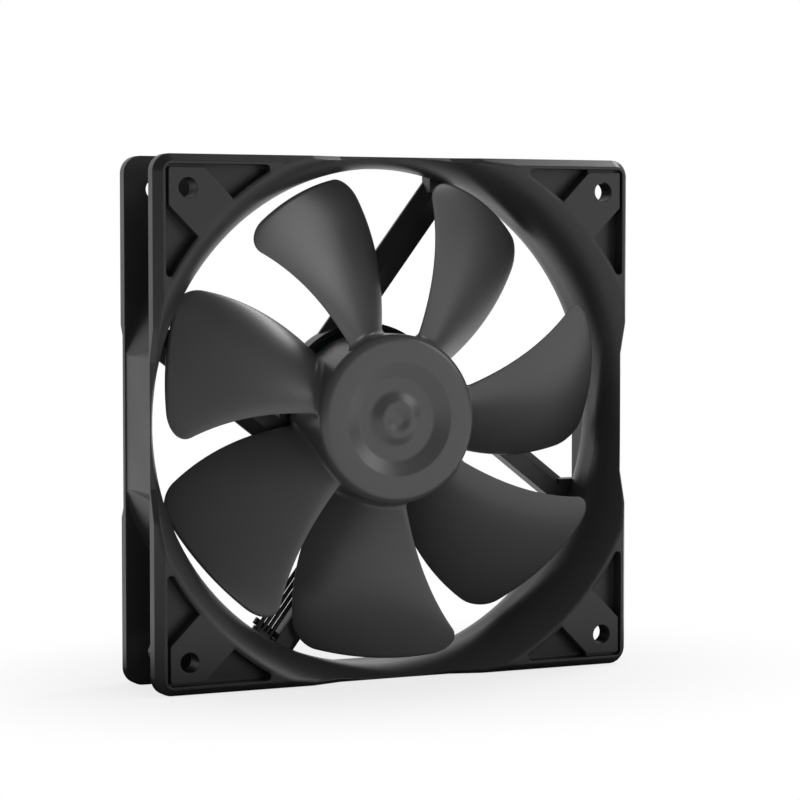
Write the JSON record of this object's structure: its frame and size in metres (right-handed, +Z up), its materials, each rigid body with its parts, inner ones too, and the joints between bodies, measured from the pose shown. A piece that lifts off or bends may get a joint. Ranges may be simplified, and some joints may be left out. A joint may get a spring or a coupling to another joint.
{
  "type": "case fan",
  "caption": "Square axial case fan: a moulded frame with bell-mouthed duct and swept struts, a bladed impeller on a sleeve-bearing motor, and a sleeved lead with a plug.",
  "frame": {"origin": "on the fan axis, half way between the intake and the outlet face", "axes": "+Y along the fan axis from the intake side to the outlet side, +Z up, +X to the right as seen from the intake side"},
  "size_m": [0.12, 0.1058, 0.12],
  "materials": {
    "frame_plastic": "black moulded plastic with a fine spark texture",
    "impeller_plastic": "black moulded plastic, satin",
    "pressed_steel": "zinc plated",
    "bonded_magnet": "matt",
    "brass": "turned",
    "ground_steel": "ground and polished",
    "sintered_bronze": "sintered, oiled",
    "slip_plastic": "natural",
    "plug_rubber": "matt",
    "lamination_steel": "stamped stack",
    "insulator_plastic": "natural nylon",
    "enamelled_copper": "wound enamelled wire",
    "tinned_wire": "tinned",
    "board_laminate": "solder mask",
    "chip_epoxy": "moulded epoxy",
    "capacitor_ceramic": "fired ceramic",
    "wire_insulation": "black vinyl",
    "shrink_tube": "heat shrunk",
    "cord_sleeve": "braided black sleeve",
    "tie_strap": "woven strap",
    "plug_nylon": "black nylon"
  },
  "bodies": {
    "root": {"frame": "frame_plastic", "bearing_tube": "brass", "bearing_sleeve": "sintered_bronze", "slip_washer": "slip_plastic", "thrust_plate": "slip_plastic", "tube_plug": "plug_rubber", "stator_core": "lamination_steel", "front_insulator": "insulator_plastic", "rear_insulator": "insulator_plastic", "windings": "enamelled_copper", "winding_posts": "tinned_wire", "circuit_board": "board_laminate", "hall_sensor": "chip_epoxy", "driver_chip": "chip_epoxy", "chip_capacitors": "capacitor_ceramic", "lead_wires": "wire_insulation", "shrink_sleeve": "shrink_tube", "cord": "cord_sleeve", "cord_hank": "cord_sleeve", "hank_tie": "tie_strap", "plug_housing": "plug_nylon", "plug_contacts": "tinned_wire"},
    "rotor": {"impeller": "impeller_plastic", "rotor_yoke": "pressed_steel", "magnet_ring": "bonded_magnet", "shaft_bush": "brass", "shaft": "ground_steel", "retaining_clip": "ground_steel"}
  },
  "joints": [
    {"name": "rotor_spin", "type": "hinge", "parent": "root", "child": "rotor", "pos_m": [0, 0, 0], "axis": [0, -1, 0], "continuous": true}
  ]
}
